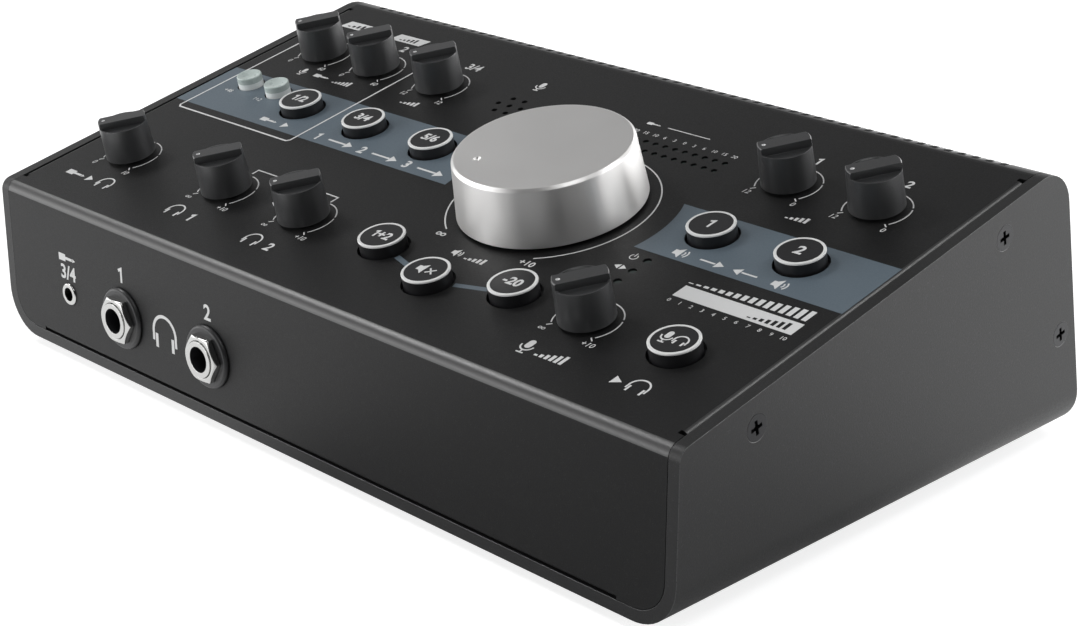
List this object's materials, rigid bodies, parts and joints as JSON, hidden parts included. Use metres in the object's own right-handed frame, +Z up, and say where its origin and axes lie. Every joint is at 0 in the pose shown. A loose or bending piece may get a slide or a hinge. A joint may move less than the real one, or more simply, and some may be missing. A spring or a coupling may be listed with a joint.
{
  "type": "studio monitor controller",
  "caption": "Desktop studio monitor controller: sloped two-shell metal case with a large volume knob, small knobs, lit push buttons and front headphone jacks.",
  "frame": {"origin": "middle of the box at the feet's underside", "axes": "+X to the right seen from the front, +Y to the rear, +Z up"},
  "size_m": [0.24, 0.15, 0.0776],
  "materials": {
    "case_paint": "fine textured powder coat, dark grey",
    "panel_paint": "fine textured powder coat, near black, with pale screen print",
    "black_screw": "black coated steel",
    "foot_rubber": "matt black rubber",
    "board": "green solder mask",
    "plated_steel": "bright zinc plate",
    "pot_metal": "stamped steel",
    "black_plastic": "moulded black plastic",
    "light_pipe": "smoked clear plastic, unlit",
    "jack_chrome": "polished nickel plate",
    "volume_metal": "satin anodised, turned",
    "knob_plastic": "satin charcoal plastic",
    "button_plastic": "black with a white light ring",
    "white_plastic": "pale translucent plastic"
  },
  "bodies": {
    "case": {"base_tray": "case_paint", "wrap_panel": "panel_paint", "side_screws": "black_screw", "bottom_screws": "black_screw", "rubber_feet": "foot_rubber", "control_board": "board", "main_board": "board", "front_board": "board", "panel_standoffs": "plated_steel", "tray_standoffs": "plated_steel", "board_spacers": "plated_steel", "board_screws": "plated_steel", "pot_bodies": "pot_metal", "volume_pot": "pot_metal", "volume_pot_nut": "plated_steel", "switch_bodies": "black_plastic", "meter_lights": "light_pipe", "status_lights": "light_pipe", "talkback_microphone": "foot_rubber", "phone_jacks": "black_plastic", "jack_collars": "black_plastic", "jack_nuts": "jack_chrome", "mini_jack": "jack_chrome", "line_jacks": "black_plastic", "combo_sockets": "black_plastic", "data_socket": "plated_steel", "power_inlet": "black_plastic", "power_switch": "black_plastic"},
    "volume": {"volume_knob": "volume_metal", "volume_shaft": "plated_steel"},
    "gain_1": {"knob_gain_1": "knob_plastic", "shaft_gain_1": "plated_steel"},
    "gain_2": {"knob_gain_2": "knob_plastic", "shaft_gain_2": "plated_steel"},
    "source_trim": {"knob_source_trim": "knob_plastic", "shaft_source_trim": "plated_steel"},
    "direct": {"knob_direct": "knob_plastic", "shaft_direct": "plated_steel"},
    "phones_1": {"knob_phones_1": "knob_plastic", "shaft_phones_1": "plated_steel"},
    "phones_2": {"knob_phones_2": "knob_plastic", "shaft_phones_2": "plated_steel"},
    "trim_a": {"knob_trim_a": "knob_plastic", "shaft_trim_a": "plated_steel"},
    "trim_b": {"knob_trim_b": "knob_plastic", "shaft_trim_b": "plated_steel"},
    "talkback": {"knob_talkback": "knob_plastic", "shaft_talkback": "plated_steel"},
    "press_source_1": {"button_source_1": "button_plastic"},
    "press_source_2": {"button_source_2": "button_plastic"},
    "press_source_3": {"button_source_3": "button_plastic"},
    "press_mono": {"button_mono": "button_plastic"},
    "press_mute": {"button_mute": "button_plastic"},
    "press_dim": {"button_dim": "button_plastic"},
    "press_out_a": {"button_out_a": "button_plastic"},
    "press_out_b": {"button_out_b": "button_plastic"},
    "press_cue": {"button_cue": "button_plastic"},
    "latch_1": {"latch_button_1": "white_plastic"},
    "latch_2": {"latch_button_2": "white_plastic"},
    "power": {"power_button": "black_plastic"}
  },
  "joints": [
    {"name": "volume_turn", "type": "hinge", "parent": "case", "child": "volume", "pos_m": [0.0257, -0.01148, 0.05761], "axis": [0, -0.2284, 0.9736], "range_deg": [-284, 0]},
    {"name": "gain_1_turn", "type": "hinge", "parent": "case", "child": "gain_1", "pos_m": [-0.0976, 0.02123, 0.06528], "axis": [0, -0.2284, 0.9736], "range_deg": [-287, 0]},
    {"name": "gain_2_turn", "type": "hinge", "parent": "case", "child": "gain_2", "pos_m": [-0.0753, 0.02123, 0.06528], "axis": [0, -0.2284, 0.9736], "range_deg": [-287, 0]},
    {"name": "source_trim_turn", "type": "hinge", "parent": "case", "child": "source_trim", "pos_m": [-0.0495, 0.02123, 0.06528], "axis": [0, -0.2284, 0.9736], "range_deg": [-287, 0]},
    {"name": "direct_turn", "type": "hinge", "parent": "case", "child": "direct", "pos_m": [-0.0976, -0.04536, 0.04967], "axis": [0, -0.2284, 0.9736], "range_deg": [-287, 0]},
    {"name": "phones_1_turn", "type": "hinge", "parent": "case", "child": "phones_1", "pos_m": [-0.0562, -0.04536, 0.04967], "axis": [0, -0.2284, 0.9736], "range_deg": [-287, 0]},
    {"name": "phones_2_turn", "type": "hinge", "parent": "case", "child": "phones_2", "pos_m": [-0.0255, -0.04536, 0.04967], "axis": [0, -0.2284, 0.9736], "range_deg": [-287, 0]},
    {"name": "trim_a_turn", "type": "hinge", "parent": "case", "child": "trim_a", "pos_m": [0.0699, 0.02123, 0.06528], "axis": [0, -0.2284, 0.9736], "range_deg": [-287, 0]},
    {"name": "trim_b_turn", "type": "hinge", "parent": "case", "child": "trim_b", "pos_m": [0.0952, 0.02123, 0.06528], "axis": [0, -0.2284, 0.9736], "range_deg": [-287, 0]},
    {"name": "talkback_turn", "type": "hinge", "parent": "case", "child": "talkback", "pos_m": [0.0699, -0.04536, 0.04967], "axis": [0, -0.2284, 0.9736], "range_deg": [-287, 0]},
    {"name": "source_1_press", "type": "slide", "parent": "case", "child": "press_source_1", "axis": [0, 0.2284, -0.9736], "range_m": [0, 0.001], "stiffness_N_per_m": 800, "springref_m": -0.0003},
    {"name": "source_2_press", "type": "slide", "parent": "case", "child": "press_source_2", "axis": [0, 0.2284, -0.9736], "range_m": [0, 0.001], "stiffness_N_per_m": 800, "springref_m": -0.0003},
    {"name": "source_3_press", "type": "slide", "parent": "case", "child": "press_source_3", "axis": [0, 0.2284, -0.9736], "range_m": [0, 0.001], "stiffness_N_per_m": 800, "springref_m": -0.0003},
    {"name": "mono_press", "type": "slide", "parent": "case", "child": "press_mono", "axis": [0, 0.2284, -0.9736], "range_m": [0, 0.001], "stiffness_N_per_m": 800, "springref_m": -0.0003},
    {"name": "mute_press", "type": "slide", "parent": "case", "child": "press_mute", "axis": [0, 0.2284, -0.9736], "range_m": [0, 0.001], "stiffness_N_per_m": 800, "springref_m": -0.0003},
    {"name": "dim_press", "type": "slide", "parent": "case", "child": "press_dim", "axis": [0, 0.2284, -0.9736], "range_m": [0, 0.001], "stiffness_N_per_m": 800, "springref_m": -0.0003},
    {"name": "out_a_press", "type": "slide", "parent": "case", "child": "press_out_a", "axis": [0, 0.2284, -0.9736], "range_m": [0, 0.001], "stiffness_N_per_m": 800, "springref_m": -0.0003},
    {"name": "out_b_press", "type": "slide", "parent": "case", "child": "press_out_b", "axis": [0, 0.2284, -0.9736], "range_m": [0, 0.001], "stiffness_N_per_m": 800, "springref_m": -0.0003},
    {"name": "cue_press", "type": "slide", "parent": "case", "child": "press_cue", "axis": [0, 0.2284, -0.9736], "range_m": [0, 0.001], "stiffness_N_per_m": 800, "springref_m": -0.0003},
    {"name": "latch_1_press", "type": "slide", "parent": "case", "child": "latch_1", "axis": [0, 0.2284, -0.9736], "range_m": [0, 0.0015]},
    {"name": "latch_2_press", "type": "slide", "parent": "case", "child": "latch_2", "axis": [0, 0.2284, -0.9736], "range_m": [0, 0.0015]},
    {"name": "power_press", "type": "slide", "parent": "case", "child": "power", "axis": [0, -0.9736, -0.2284], "range_m": [0, 0.002]}
  ]
}
